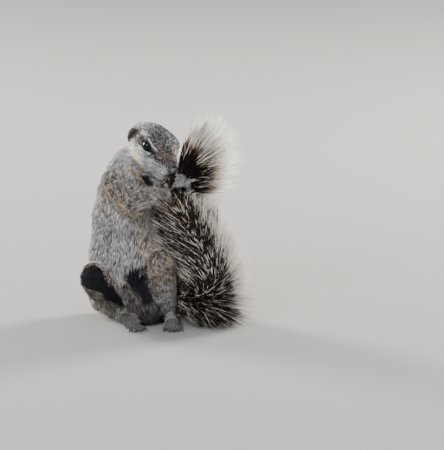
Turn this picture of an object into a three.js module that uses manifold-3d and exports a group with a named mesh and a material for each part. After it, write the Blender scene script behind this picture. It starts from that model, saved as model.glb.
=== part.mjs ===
// A Cape ground squirrel, life size, sitting up on its haunches and grooming its tail.
// Millimetres, +Z up. The origin is on the floor under the rump, the animal looks towards -Y,
// and its right side is on -X. Every solid goes out to the tips of the coat.
import * as THREE from "three";
import { mergeVertices } from "three/addons/utils/BufferGeometryUtils.js";
import Module from "manifold-3d";

const wasm = await Module();
wasm.setup();

// ---- driving dimensions ----
const HEAD_LENGTH = 61; // nose tip to the back of the skull
const HEAD_TURN = 38; // degrees to the animal's left
const HEAD_BOW = 21; // degrees down
const HEAD_TILT = 8; // degrees, right ear up
const EYE_RADIUS = 5.2;
const EYE_PLACE = { forward: 6.6, out: 14.4, up: 7.8 }; // from the middle of the skull
const HIND_TOES = 5;
const FINGERS = 4;
const TOE_RADIUS = 1.9;
const FINGER_RADIUS = 1.6;
const CLAW_LENGTH = 4.5;
const CLAW_RADIUS = 1.1;
const CLAW_TIP_RADIUS = 0.5;
const GAP = 0.32; // between solids that touch
const BLEND = 5; // how softly two masses of flesh run together
const FAR = 300; // farther than any two points of the animal are apart

const vec = (x, y, z) => new THREE.Vector3(x, y, z);
const UP = vec(0, 0, 1);

// ---- where the skeleton's joints are ----
const SKULL = vec(29, -37, 161);
const RIGHT_LEG = {
  hip: vec(-15, -12, 33),
  knee: vec(-25, -43, 45),
  ankle: vec(-2, -19, 11),
  toes: vec(15, -62, 4),
  thighRadius: 13,
  calfShift: vec(-2, 3, -2),
  calfRadius: 11.5,
};
const LEFT_LEG = {
  hip: vec(18, 0, 33),
  knee: vec(36, -44, 59),
  ankle: vec(43, -22, 12),
  toes: vec(46.5, -63, 4),
  thighRadius: 13.5,
  calfShift: vec(-3, -1, -3),
  calfRadius: 14,
};
// Both hands hold the tail to the mouth. The fingers lie side by side along `spread`.
const RIGHT_ARM = {
  shoulder: vec(-4, -30, 132),
  elbow: vec(9, -56, 111),
  wrist: vec(29.5, -68, 126.5),
  knuckles: vec(36, -71.5, 128),
  tips: vec(43.5, -75, 127.5),
  spread: vec(-1, 2, 8.8),
  curl: vec(0.2, 0.7, -0.1),
};
const LEFT_ARM = {
  shoulder: vec(37, -22, 131),
  elbow: vec(56, -43, 107),
  wrist: vec(63, -63, 129),
  knuckles: vec(60, -71, 139.5),
  tips: vec(52.5, -77, 140.5),
  spread: vec(3, 1, 7.6),
  curl: vec(-0.2, 0.7, -0.2),
};

// ---- masses: the lumps that the flesh and coat are blended from ----
// An ellipsoid with its centre, three radii and, where it is turned, the axes that they lie on.
const lump = (at, radii, axes) => ({ at, radii, axes });
// A round bone with flesh on it, with a radius at each end.
const bone = (from, to, fromRadius, toRadius) => ({ from, to, fromRadius, toRadius });

const local = vec();
const scaled = vec();
function lumpDistance(p, { at, radii, axes }) {
  local.subVectors(p, at);
  if (axes) local.set(local.dot(axes[0]), local.dot(axes[1]), local.dot(axes[2]));
  scaled.copy(local).divide(radii);
  const k = scaled.length();
  const slope = scaled.divide(radii).length();
  return k < 1e-6 ? -Math.min(radii.x, radii.y, radii.z) : (k * (k - 1)) / slope;
}
const along = vec();
function boneDistance(p, { from, to, fromRadius, toRadius }) {
  along.subVectors(to, from);
  local.subVectors(p, from);
  const share = THREE.MathUtils.clamp(local.dot(along) / along.lengthSq(), 0, 1);
  const radius = THREE.MathUtils.lerp(fromRadius, toRadius, share);
  return local.addScaledVector(along, -share).length() - radius;
}
// Distance from p to all the masses run together, negative inside.
function fleshDistance(p, masses, blend) {
  let sum = 0;
  for (const mass of masses) {
    const d = mass.radii ? lumpDistance(p, mass) : boneDistance(p, mass);
    sum += Math.exp(-d / blend);
  }
  return -blend * Math.log(sum);
}

// The point where a ray from inside the flesh comes out, the coat being swollen by a margin.
const STEP = 1.5;
const HALVINGS = 12;
function surfacePoint(origin, direction, masses, blend, margin) {
  const probe = vec();
  const outside = (t) =>
    fleshDistance(probe.copy(origin).addScaledVector(direction, t), masses, blend) > margin;
  let far = STEP;
  while (!outside(far) && far < FAR) far += STEP;
  let near = far - STEP;
  for (let i = 0; i < HALVINGS; i++) {
    const middle = (near + far) / 2;
    if (outside(middle)) far = middle;
    else near = middle;
  }
  return vec().copy(origin).addScaledVector(direction, (near + far) / 2);
}

// No line that is wrapped runs along this direction, so its rings can be turned by it.
const ASIDE = vec(0.31, 0.17, 0.94);
// A closed surface round some masses. Rays leave a line inside them, square to it along its
// length and fanning out over each end, and every ray puts one vertex where it comes out.
function wrap(line, masses, { rings = 5, sides = 12, caps = 3, blend = BLEND }, margin) {
  const places = [];
  for (let i = 1; i < caps; i++) places.push([0, (i / caps - 1) * (Math.PI / 2)]);
  for (let i = 0; i <= rings; i++) places.push([i / rings, 0]);
  for (let i = 1; i < caps; i++) places.push([1, (i / caps) * (Math.PI / 2)]);
  const points = [];
  const shoot = (share, lean, turn) => {
    const axis = line.getTangentAt(share);
    const across = ASIDE.clone().cross(axis).normalize();
    const third = axis.clone().cross(across);
    const direction = vec()
      .addScaledVector(across, Math.cos(lean) * Math.cos(turn))
      .addScaledVector(third, Math.cos(lean) * Math.sin(turn))
      .addScaledVector(axis, Math.sin(lean));
    points.push(surfacePoint(line.getPointAt(share), direction, masses, blend, margin));
  };
  shoot(0, -Math.PI / 2, 0);
  for (const [share, lean] of places)
    for (let side = 0; side < sides; side++) shoot(share, lean, (side / sides) * 2 * Math.PI);
  shoot(1, Math.PI / 2, 0);

  const last = points.length - 1;
  const vertex = (ring, side) => 1 + ring * sides + (side % sides);
  const index = [];
  for (let side = 0; side < sides; side++) {
    index.push(0, vertex(0, side + 1), vertex(0, side));
    index.push(last, vertex(places.length - 1, side), vertex(places.length - 1, side + 1));
    for (let ring = 0; ring < places.length - 1; ring++) {
      const [a, b] = [vertex(ring, side), vertex(ring, side + 1)];
      const [c, d] = [vertex(ring + 1, side), vertex(ring + 1, side + 1)];
      index.push(a, b, c, b, d, c);
    }
  }
  return new THREE.BufferGeometry().setFromPoints(points).setIndex(index);
}

// ---- solids ----
function solidOf(geometry) {
  const bare = geometry.clone();
  bare.deleteAttribute("normal");
  bare.deleteAttribute("uv");
  const merged = mergeVertices(bare, 1e-4);
  const vertProperties = new Float32Array(merged.attributes.position.array);
  const triVerts = new Uint32Array(merged.index.array);
  return new wasm.Manifold(new wasm.Mesh({ numProp: 3, vertProperties, triVerts }));
}
function geometryOf(solid) {
  const { vertProperties, triVerts } = solid.getMesh();
  const geometry = new THREE.BufferGeometry();
  geometry.setAttribute("position", new THREE.BufferAttribute(vertProperties, 3));
  geometry.setIndex(new THREE.BufferAttribute(triVerts, 1));
  geometry.computeVertexNormals();
  return geometry;
}
const joined = (solids) => solids.reduce((all, next) => all.add(next));
// Cutting one piece by another can leave slivers: the piece is the largest body that is left.
function largest(solid) {
  const bodies = solid.decompose().sort((a, b) => b.volume() - a.volume());
  return bodies[0];
}
// What lies between two distances along a direction from the origin.
function slabSolid(direction, near, far) {
  const box = new THREE.BoxGeometry(2 * FAR, 2 * FAR, far - near)
    .translate(0, 0, (near + far) / 2);
  const turn = new THREE.Quaternion().setFromUnitVectors(UP, direction);
  return solidOf(box.applyQuaternion(turn));
}
const BELOW_FLOOR = slabSolid(UP, -FAR, 0);

// Pieces are added from the inside out. Each later piece gives way to those before it, or to
// the simpler shape `room` round a piece with many small parts.
const pieces = [];
let taken = null;
function trimmed(solid) {
  const above = solid.subtract(BELOW_FLOOR);
  return taken ? above.subtract(taken) : above;
}
function place(name, finish, build, { hollow, room = build(GAP) } = {}) {
  const solid = trimmed(build(0));
  pieces.push({ name, finish, solid: largest(hollow ? solid.subtract(hollow) : solid) });
  taken = taken ? taken.add(room) : room;
}
// A long body made whole and parted by thin cuts: each part ends where the next begins.
function placeParted(parts, finish, build, direction) {
  const whole = trimmed(build(0));
  let start = -FAR;
  for (const [name, end] of parts) {
    const slab = slabSolid(direction, start + GAP / 2, end - GAP / 2);
    pieces.push({ name, finish, solid: largest(whole.intersect(slab)) });
    start = end;
  }
  taken = taken.add(build(GAP));
}
const straight = (from, to) => new THREE.LineCurve3(from, to);
const wrapped = (from, to, masses, options) => (margin) =>
  solidOf(wrap(straight(from, to), masses, options, margin));

// ---- the head's own axes: forward to the nose, to the animal's right, and up ----
const headTurn = new THREE.Euler(
  THREE.MathUtils.degToRad(HEAD_BOW),
  THREE.MathUtils.degToRad(HEAD_TILT),
  THREE.MathUtils.degToRad(HEAD_TURN),
  "ZXY",
);
const HEAD_AXES = [vec(0, -1, 0), vec(-1, 0, 0), vec(0, 0, 1)].map((v) => v.applyEuler(headTurn));
const HEAD_UNIT = HEAD_LENGTH / 61;
function inHead(forward, right, up) {
  const p = SKULL.clone();
  [forward, right, up].forEach((d, i) => p.addScaledVector(HEAD_AXES[i], d * HEAD_UNIT));
  return p;
}
const headLump = (f, r, u, rf, rr, ru) =>
  lump(inHead(f, r, u), vec(rf, rr, ru).multiplyScalar(HEAD_UNIT), HEAD_AXES);

const RIGHT_SIDE = 1;
const LEFT_SIDE = -1;
const SIDES = [
  ["right", RIGHT_SIDE],
  ["left", LEFT_SIDE],
];

// ---- head ----
function addNose() {
  const pad = [headLump(33.4, 0, -2.2, 2.5, 4, 3.2)];
  place("nose", "nose", wrapped(inHead(32.8, 0, -2.2), inHead(34, 0, -2.2), pad,
    { rings: 1, sides: 8, caps: 2, blend: 0.5 }));
}
function addEyes() {
  for (const [side, sign] of SIDES) {
    const centre = inHead(EYE_PLACE.forward, sign * EYE_PLACE.out, EYE_PLACE.up);
    place(`eye_${side}`, "eye", (margin) =>
      solidOf(new THREE.SphereGeometry(EYE_RADIUS + margin, 10, 6)
        .translate(centre.x, centre.y, centre.z)));
  }
}
// The ear is a low rim round a slit, close to the head.
function addEars() {
  for (const [side, sign] of SIDES) {
    const flap = [headLump(-15.5, sign * 16.3, 6, 5, 3, 7.2)];
    const slit = [headLump(-13.8, sign * 19.6, 6.2, 2.6, 2.8, 4.6)];
    const flapAxis = [inHead(-15, sign * 14.3, 5), inHead(-16, sign * 17.8, 6.5)];
    const slitAxis = [inHead(-13.8, sign * 19.6, 5), inHead(-13.8, sign * 19.6, 7.4)];
    place(`ear_${side}`, "ear", wrapped(...flapAxis, flap, { rings: 1, sides: 9, caps: 2, blend: 1 }),
      { hollow: wrapped(...slitAxis, slit, { rings: 1, sides: 7, caps: 2, blend: 0.5 })(0) });
  }
}
const headMasses = [
  headLump(-10, 0, 3.5, 20.5, 19, 17), // braincase
  headLump(4, 0, 3, 17.5, 17.9, 15), // face
  headLump(16.5, 0, -1.5, 15, 11.6, 10.4), // muzzle
  headLump(26, 0, -3.4, 8.4, 8.2, 7.8), // snout
  ...SIDES.flatMap(([, sign]) => [
    headLump(0, sign * 5.5, 9.5, 16.5, 12.5, 10), // forehead
    headLump(4, sign * 9, -9, 14.5, 8.5, 9.5), // cheek
    headLump(7, sign * 13.6, 12, 9.5, 5.2, 3), // brow
    headLump(20.5, sign * 5.6, -7.6, 9, 5.4, 5), // whisker pad
  ]),
  headLump(-6, 0, -8, 14, 12, 8), // throat
];
function addHead() {
  place("head", "coat", wrapped(inHead(-16, 0, -1), inHead(23, 0, -3.8), headMasses,
    { rings: 9, sides: 18, blend: 2 }));
}
function addJaw() {
  const masses = [
    headLump(8, 0, -15, 13, 8, 5.5),
    headLump(21, 0, -12.5, 7.5, 5.4, 5.2),
  ];
  place("lower_jaw", "coat", wrapped(inHead(2, 0, -15), inHead(21, 0, -13.5), masses,
    { rings: 2, sides: 8, blend: 2 }));
}

// ---- trunk, made whole and parted by thin cuts ----
const trunkMasses = [
  lump(vec(0, 1, 30), vec(36, 33, 32)), // rump
  lump(vec(4.5, -8, 64), vec(34, 35, 36)), // belly
  lump(vec(3, -27, 46), vec(21, 20, 20)), // belly between the thighs
  lump(vec(6.5, -14, 97), vec(33, 32, 31)), // ribs
  lump(vec(9, -19, 123), vec(29, 27, 22)), // shoulders
  lump(vec(16, -26, 147), vec(26, 22, 18)), // neck
];
function addTrunk() {
  const trunk = wrapped(vec(2, -5, 24), vec(18, -27, 144), trunkMasses,
    { rings: 10, sides: 16 });
  const parts = [
    ["pelvis", 52],
    ["abdomen", 88],
    ["chest", 134],
    ["neck", FAR],
  ];
  placeParted(parts, "coat", trunk, UP);
}
// The soft lower belly rests on the feet, between the thighs.
function addGroin() {
  const top = vec(12, -33, 29);
  const bottom = vec(21, -37, 16);
  const masses = [lump(top, vec(14, 12, 14)), lump(bottom, vec(14, 12, 14))];
  place("groin", "coat", wrapped(top, bottom, masses, { rings: 2, sides: 10 }));
}

// ---- hands and feet: a pad of flesh with toes and claws joined on ----
// One toe or finger, bent down at its tip, with the claw that grows from it.
function digit(root, tip, direction, radius, margin) {
  const point = tip.clone().addScaledVector(direction, CLAW_LENGTH);
  const line = new THREE.QuadraticBezierCurve3(root, tip, point);
  const girth = [
    [0, radius],
    [0.4, radius * 1.05],
    [0.65, radius * 0.9],
    [0.75, CLAW_RADIUS],
    [1, CLAW_TIP_RADIUS],
  ];
  const flesh = [];
  for (let i = 1; i < girth.length; i++) {
    const [[near, nearRadius], [far, farRadius]] = [girth[i - 1], girth[i]];
    flesh.push(bone(line.getPointAt(near), line.getPointAt(far), nearRadius, farRadius));
  }
  return solidOf(wrap(line, flesh, { rings: 4, sides: 5, caps: 1, blend: 0.2 }, margin));
}

// ---- hind legs ----
function addHindLeg(side, sign, { hip, knee, ankle, toes, thighRadius, calfShift, calfRadius }) {
  const thigh = [
    bone(hip, knee, 19, thighRadius),
    lump(hip.clone().lerp(knee, 0.45).add(vec(0, 3, 4)), vec(16, 17, 18)),
  ];
  place(`thigh_${side}`, "coat", wrapped(hip, knee, thigh,
    { rings: 3, sides: 10, blend: 3 }));
  const calf = knee.clone().lerp(ankle, 0.4).add(calfShift);
  const shank = [
    bone(knee, calf, thighRadius - 0.5, calfRadius),
    bone(calf, ankle, calfRadius, 8.5),
  ];
  place(`shank_${side}`, "coat", wrapped(knee, ankle, shank,
    { rings: 3, sides: 10, blend: 2 }));

  const forward = toes.clone().sub(ankle).setZ(0).normalize();
  const across = vec(-forward.y, forward.x, 0).multiplyScalar(-sign);
  const heel = ankle.clone().addScaledVector(forward, -6).setZ(5);
  const ball = toes.clone().addScaledVector(forward, -14).setZ(4.2);
  place(`foot_${side}`, "foot", (margin) => {
    const sole = [
      bone(ankle, heel, 7, 5.6),
      bone(heel, ball, 5.6, 5.4),
      lump(ball, vec(8, 8, 4.6)),
    ];
    const solids = [solidOf(wrap(straight(heel, ball), sole,
      { rings: 3, sides: 7, caps: 2, blend: 1.5 }, margin))];
    for (let i = 0; i < HIND_TOES; i++) {
      const spread = i / (HIND_TOES - 1) - 0.5;
      const reach = 15 - 16 * spread * spread;
      const root = ball.clone().addScaledVector(across, spread * 10.5).setZ(3.2);
      const tip = root.clone().addScaledVector(forward, reach)
        .addScaledVector(across, spread * 6).setZ(2.3);
      const point = forward.clone().addScaledVector(across, spread * 0.3)
        .add(vec(0, 0, -0.15)).normalize();
      solids.push(digit(root, tip, point, TOE_RADIUS, margin));
    }
    return joined(solids);
  });
}

// ---- arms ----
function addArm(side, { shoulder, elbow, wrist, knuckles, tips, spread, curl }) {
  const upper = [
    bone(shoulder, elbow, 14, 10.2),
    lump(shoulder.clone().lerp(elbow, 0.3), vec(14, 13, 16)),
  ];
  place(`upper_arm_${side}`, "coat", wrapped(shoulder, elbow, upper,
    { rings: 3, sides: 10, blend: 2.5 }));
  const swell = elbow.clone().lerp(wrist, 0.45).add(vec(0, 0, 3));
  const lower = [bone(elbow, swell, 10.4, 11.6), bone(swell, wrist, 11.6, 7)];
  place(`forearm_${side}`, "coat", wrapped(elbow, wrist, lower,
    { rings: 3, sides: 8, blend: 2 }));
  const fingers = [];
  for (let i = 0; i < FINGERS; i++) {
    const shift = spread.clone().multiplyScalar(i / (FINGERS - 1) - 0.5);
    const root = knuckles.clone().add(shift);
    const tip = tips.clone().addScaledVector(shift, 1.25);
    const direction = tip.clone().sub(root).normalize().add(curl).normalize();
    fingers.push({ root, tip, direction });
  }
  const middle = wrist.clone().lerp(knuckles, 0.6);
  const palm = [bone(wrist, middle, 5.2, 5), bone(middle, knuckles, 5, 4)];
  const mitten = fingers.map(({ root, tip, direction }) =>
    bone(root, tip.clone().addScaledVector(direction, CLAW_LENGTH), 4.6, 4.4));
  mitten.push(bone(wrist, knuckles, 6.4, 7.4));
  const build = (margin) => joined([
    wrapped(wrist, knuckles, palm, { rings: 2, sides: 7, caps: 2, blend: 1 })(margin),
    ...fingers.map(({ root, tip, direction }) =>
      digit(root, tip, direction, FINGER_RADIUS, margin)),
  ]);
  place(`hand_${side}`, "foot", build,
    { room: wrapped(wrist, tips, mitten, { rings: 3, sides: 9, blend: 0.5 })(0) });
}

// ---- tail: its brush of long hair, parted into lengths ----
const brush = (x, y, z, rx, ry, rz) => lump(vec(x, y, z), vec(rx, ry, rz));
// The tail leaves the rump and comes round the animal's left side along the floor.
function addTailOnFloor() {
  const from = vec(18, 21, 25);
  const to = vec(72, -14, 24);
  const direction = to.clone().sub(from).normalize();
  const hair = [
    brush(15, 23, 26, 14, 14, 15),
    brush(35, 16, 23, 19, 18, 22),
    brush(54, 5, 23, 22, 20, 23),
    brush(73, -15, 26, 26, 24, 27),
  ];
  const halfway = direction.dot(vec(43, 10, 24));
  placeParted([["tail_root", halfway], ["tail_base", FAR]], "tail",
    wrapped(from, to, hair, { rings: 5, sides: 13, blend: 4 }), direction);
}
// Then it rises in front of the left arm to the hands and the mouth.
function addTailRising() {
  const from = vec(86, -38, 22);
  const to = vec(52, -60, 124);
  const hair = [
    brush(78, -30, 18, 25, 22, 22),
    brush(88, -37, 27, 30, 22, 27),
    brush(86, -46, 12, 29, 21, 15),
    brush(82, -39, 50, 34, 22, 26),
    brush(70, -44, 75, 37, 21, 22),
    brush(62, -51, 95, 34, 20, 20),
    brush(54, -57, 117, 28, 17, 18),
    brush(47, -63, 132, 17, 12, 11),
  ];
  const parts = [
    ["tail_bend", 34],
    ["tail_middle", 82],
    ["tail_upper", FAR],
  ];
  placeParted(parts, "tail", wrapped(from, to, hair, { rings: 8, sides: 14, blend: 3 }), UP);
}
// Past the mouth the tip fans out in a plume.
function addTailTip() {
  const hair = [
    brush(60, -66, 147, 11, 11, 11),
    brush(73, -66, 160, 17, 14, 20),
    brush(78.5, -65, 180, 17, 13, 21),
    brush(90, -65, 162, 19, 15, 23),
    brush(86, -65, 141, 20, 14, 16),
  ];
  place("tail_tip", "tail", wrapped(vec(64, -66, 152), vec(83, -65, 164), hair,
    { rings: 3, sides: 13, blend: 4 }));
}

addNose();
addEyes();
addEars();
addHead();
addJaw();
addTrunk();
addGroin();
addHindLeg("right", RIGHT_SIDE, RIGHT_LEG);
addHindLeg("left", LEFT_SIDE, LEFT_LEG);
addArm("right", RIGHT_ARM);
addArm("left", LEFT_ARM);
addTailOnFloor();
addTailRising();
addTailTip();

// ---- finishes and the scene graph ----
const FINISHES = {
  coat: { color: 0xa3927c, roughness: 0.9 },
  tail: { color: 0x6b5f50, roughness: 0.9 },
  foot: { color: 0x9a8f80, roughness: 0.85 },
  ear: { color: 0x8d7c68, roughness: 0.85 },
  nose: { color: 0x4d4541, roughness: 0.5 },
  eye: { color: 0x120d0a, roughness: 0.08 },
};

const squirrel = new THREE.Group();
squirrel.name = "cape_ground_squirrel";
for (const { name, finish, solid } of pieces) {
  const material = new THREE.MeshStandardMaterial({ ...FINISHES[finish], metalness: 0 });
  const mesh = new THREE.Mesh(geometryOf(solid), material);
  mesh.name = name;
  squirrel.add(mesh);
}

export default squirrel;
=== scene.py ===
# %% [markdown]
# # A Cape ground squirrel, life size
# The solid model gives every part of the animal its place and size, out to the tips of the hair.
# These cells give it skin, eyes, nose, claws and a coat. Blender can import that solid model as
# a fixed frame, so each new piece goes where the solid says, in metres, with +Z up.

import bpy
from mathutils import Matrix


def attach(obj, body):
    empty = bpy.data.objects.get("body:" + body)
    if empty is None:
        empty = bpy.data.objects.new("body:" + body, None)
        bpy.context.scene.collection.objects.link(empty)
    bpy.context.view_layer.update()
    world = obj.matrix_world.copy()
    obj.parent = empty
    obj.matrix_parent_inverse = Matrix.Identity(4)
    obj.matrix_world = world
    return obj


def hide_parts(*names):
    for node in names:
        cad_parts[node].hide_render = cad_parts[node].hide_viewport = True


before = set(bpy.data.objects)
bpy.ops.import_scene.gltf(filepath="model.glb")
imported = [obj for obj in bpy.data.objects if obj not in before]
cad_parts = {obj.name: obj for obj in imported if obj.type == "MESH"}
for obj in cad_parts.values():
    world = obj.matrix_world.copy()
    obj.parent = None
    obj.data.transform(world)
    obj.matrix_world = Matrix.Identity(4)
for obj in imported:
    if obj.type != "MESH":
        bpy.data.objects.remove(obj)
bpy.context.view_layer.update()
print("solid nodes:", len(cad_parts))

# %% [markdown]
# ## Sizes and directions
# A real animal is measured from its skeleton, so the same joints that the solid model was built
# from are named here once, in millimetres. The head has axes of its own, because it is turned,
# bowed and a little tilted: a place on the face is then given as forward, right and up.

# %% Tools, units and the head's own axes
import math

import bpy
import numpy as np
from mathutils import Matrix, Vector
from mathutils.bvhtree import BVHTree

MM = 0.001
chance = np.random.default_rng(7)

SKULL = np.array([29, -37, 161.0])
turned = (Matrix.Rotation(math.radians(38), 3, "Z") @ Matrix.Rotation(math.radians(21), 3, "X")
          @ Matrix.Rotation(math.radians(8), 3, "Y"))
FORWARD, RIGHT, UP = [np.array(turned @ Vector(v)) for v in ((0, -1, 0), (-1, 0, 0), (0, 0, 1))]


def in_head(forward, right, up):
    """A place on the head, in millimetres from the middle of the skull."""
    return SKULL + forward * FORWARD + right * RIGHT + up * UP


def head_axes(points, origin=SKULL):
    """How far forward, right and up points are from a place in the head."""
    return [(points - origin) @ axis for axis in (FORWARD, RIGHT, UP)]


print("the nose points to", FORWARD.round(2))

# %% The skeleton's joints
# Each bone is: the region it carries, its two ends, and the radius of the flesh at each end.
TAIL_LINE = np.array([
    (5, 20, 27), (12, 23, 25), (26, 19.5, 22), (41, 14, 20), (55, 3.5, 20), (67, -8, 22),
    (76, -20, 26), (81, -30, 34), (82, -36, 46), (77, -41, 62), (70.5, -46, 78), (62, -52, 96),
    (55, -58, 115), (49, -63, 131), (50, -66, 140), (54, -67, 146), (59, -67.5, 151)], float)
BONES = [
    ("head", in_head(34, 0, -5), in_head(14, 0, -2), 7, 13),
    ("head", in_head(14, 0, -2), in_head(-22, 0, 1), 14, 18),
    ("neck", in_head(-18, 0, -10), (9, -19, 123), 17, 26),
    ("trunk", (9, -19, 123), (6.5, -14, 97), 28, 32),
    ("trunk", (6.5, -14, 97), (4.5, -8, 64), 32, 34),
    ("trunk", (4.5, -8, 64), (0, 1, 22), 34, 32),
    ("groin", (12, -33, 29), (21, -37, 12), 13, 13),
    ("thigh", (-15, -12, 33), (-25, -43, 45), 18, 13),
    ("shank", (-25, -43, 45), (-2, -19, 11), 12, 7.5),
    ("foot", (-2, -19, 10), (14, -60, 5), 7, 4.5),
    ("thigh", (18, 0, 33), (36, -44, 59), 18, 13.5),
    ("shank", (36, -44, 59), (43, -22, 12), 14, 8.5),
    ("foot", (43, -22, 10), (46.5, -61, 5), 7, 4.5),
    ("arm", (-4, -30, 132), (9, -56, 111), 14, 10),
    ("forearm", (9, -56, 111), (29.5, -68, 126.5), 9.5, 6),
    ("hand", (29.5, -68, 126.5), (43.5, -75, 127.5), 5, 3),
    ("arm", (37, -22, 131), (56, -43, 107), 14, 10),
    ("forearm", (56, -43, 107), (63, -63, 129), 9.5, 6),
    ("hand", (63, -63, 129), (60, -71, 139.5), 5, 4),
    ("hand", (60, -71, 139.5), (52.5, -77, 140.5), 4, 3),
]
BONES += [("tail", a, b, 5.5, 5) for a, b in zip(TAIL_LINE[1:-1], TAIL_LINE[2:])]
REGIONS = ["head", "neck", "trunk", "groin", "thigh", "shank", "foot", "arm", "forearm", "hand", "tail"]


def along_bone(points, start, end):
    """How far along a bone the nearest place to each point is, and the distance to it."""
    start, end = np.asarray(start, float), np.asarray(end, float)
    axis = end - start
    share = np.clip((points - start) @ axis / (axis @ axis), 0, 1)
    return share, np.linalg.norm(points - start - share[:, None] * axis, axis=1)


def body_map(points):
    """For each point, its share in each region, and the way the hair lies there."""
    shares = np.zeros((len(points), len(REGIONS)))
    lie = np.zeros((len(points), 3))
    for region, start, end, thick, thin in BONES:
        share, distance = along_bone(points, start, end)
        proud = np.maximum(distance - (thick + (thin - thick) * share), -1)
        weight = np.exp(-proud / 1.6) + 1e-12
        shares[:, REGIONS.index(region)] += weight
        axis = np.asarray(end, float) - start
        lie += weight[:, None] * axis / np.linalg.norm(axis)
    lie /= np.linalg.norm(lie, axis=1)[:, None]
    return shares / shares.sum(1)[:, None], lie


print(len(BONES), "bones in", len(REGIONS), "regions")

# %% [markdown]
# ## The hand tools
# Modelling by hand starts with everything deselected, because an operator acts on all that is
# selected. These helpers do that, finish a modifier, and read or move a mesh's vertices as one
# array, which is how a sculptor's stroke is written down in code.

# %% Select, apply and move
def only(piece):
    bpy.ops.object.select_all(action="DESELECT")
    piece.select_set(True)
    bpy.context.view_layer.objects.active = piece


def primitive(kind, name, **sizes):
    """Adds one of Blender's own shapes."""
    bpy.ops.object.select_all(action="DESELECT")
    getattr(bpy.ops.mesh, f"primitive_{kind}_add")(**sizes)
    bpy.context.object.name = name
    return bpy.context.object


def edited(piece, operator, **settings):
    """Runs one operator of edit mode on all of a piece."""
    only(piece)
    bpy.ops.object.mode_set(mode="EDIT")
    bpy.ops.mesh.select_all(action="SELECT")
    operator(**settings)
    bpy.ops.object.mode_set(mode="OBJECT")


def finished(piece, kind, **settings):
    """Adds a modifier with these settings and applies it."""
    modifier = piece.modifiers.new(kind, kind)
    for setting, value in settings.items():
        setattr(modifier, setting, value)
    only(piece)
    bpy.ops.object.modifier_apply(modifier=modifier.name)
    return piece


def read(items, what, width, kind=np.float32):
    """One property of every vertex or corner of a mesh, as the rows of an array."""
    out = np.empty(len(items) * width, kind)
    items.foreach_get(what, out)
    return out.reshape(-1, width)


def places(piece):
    """The vertices of a piece, in millimetres."""
    return read(piece.data.vertices, "co", 3).astype(float) / MM


def facings(piece):
    """The normals of a piece's vertices."""
    return read(piece.data.vertices, "normal", 3).astype(float)


def triangles_of(piece):
    """The three vertex numbers of each triangle of a piece."""
    return read(piece.data.loops, "vertex_index", 1, np.int32).reshape(-1, 3)


def note(piece, **values):
    """Writes numbers on the vertices of a piece, for its material to read."""
    for name, value in values.items():
        layer = piece.data.attributes.new(name, "FLOAT", "POINT")
        layer.data.foreach_set("value", np.asarray(value, np.float32))


def move_to(piece, points):
    piece.data.vertices.foreach_set("co", (points * MM).astype(np.float32).ravel())
    piece.data.update()


def joined(pieces, name):
    only(pieces[0])
    for piece in pieces:
        piece.select_set(True)
    bpy.ops.object.join()
    pieces[0].name = name
    return pieces[0]


def smooth_faces(piece):
    piece.data.shade_smooth()
    return piece


def step(x, low, high):
    """0 below low, 1 above high and smooth between."""
    t = np.clip((x - low) / (high - low), 0, 1)
    return t * t * (3 - 2 * t)


def unit(v):
    return v / np.maximum(np.linalg.norm(v, axis=-1, keepdims=True), 1e-9)


def on_line(at, marks, line):
    """Places on a line of points, where marks says how far along each of its points is."""
    return np.stack([np.interp(at, marks, line[:, i]) for i in range(3)], 1)


def on_curve(t, start, bend, end):
    return (1 - t) ** 2 * start + 2 * t * (1 - t) * bend + t * t * end


def areas(corner):
    """The area of each triangle, from the places of its three corners."""
    return np.linalg.norm(np.cross(corner[:, 1] - corner[:, 0], corner[:, 2] - corner[:, 0]),
                          axis=1) / 2


print("hand tools ready")

# %% [markdown]
# ## Skin
# Under the coat the animal has one skin with no joins. It could be modelled from nothing, but
# then it might not fit the solids. So each solid is copied and swollen until it meets its
# neighbours, a voxel remesh runs them into one surface, smoothing takes the facets off, and the
# surface is drawn in by the depth of the coat at each place.

# %% Copies of the flesh
SIDES = ("right", "left")
FLESH = ["head", "lower_jaw", "neck", "chest", "abdomen", "pelvis", "groin"]
FLESH += [f"{part}_{side}" for side in SIDES
          for part in ("thigh", "shank", "foot", "upper_arm", "forearm", "hand")]
BRUSH = ["tail_root", "tail_base", "tail_bend", "tail_middle", "tail_upper", "tail_tip"]
SWELL = 0.35  # more than half of the gap between two solids


def copies_of(nodes, name):
    made = []
    for node in nodes:
        piece = bpy.data.objects.new(node + "_copy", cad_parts[node].data.copy())
        bpy.context.collection.objects.link(piece)
        finished(piece, "WELD", merge_threshold=0.01 * MM)
        finished(piece, "DISPLACE", strength=SWELL * MM, mid_level=0)
        made.append(piece)
    return joined(made, name)


skin = copies_of(FLESH, "skin")
print("flesh copied:", len(skin.data.polygons), "faces")

# %% The tail's own flesh, a tapered line of vertebrae
bpy.ops.object.select_all(action="DESELECT")
bpy.ops.curve.primitive_nurbs_path_add()
tail_flesh = bpy.context.object
tail_flesh.name = "tail_flesh"
spline = tail_flesh.data.splines[0]
spline.points.add(len(TAIL_LINE) - len(spline.points))
for i, (point, place) in enumerate(zip(spline.points, TAIL_LINE)):
    point.co = (*(place * MM), 1)
    point.radius = 1 - 0.7 * i / (len(TAIL_LINE) - 1)
spline.use_endpoint_u = True
tail_flesh.data.bevel_depth = 5.6 * MM
tail_flesh.data.bevel_resolution = 4
tail_flesh.data.use_fill_caps = True
only(tail_flesh)
bpy.ops.object.convert(target="MESH")
tail_flesh = bpy.context.object
finished(tail_flesh, "WELD", merge_threshold=0.01 * MM)
skin = joined([skin, tail_flesh], "skin")
print("tail flesh joined")

# %% One surface
VOXEL = 0.98
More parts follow.
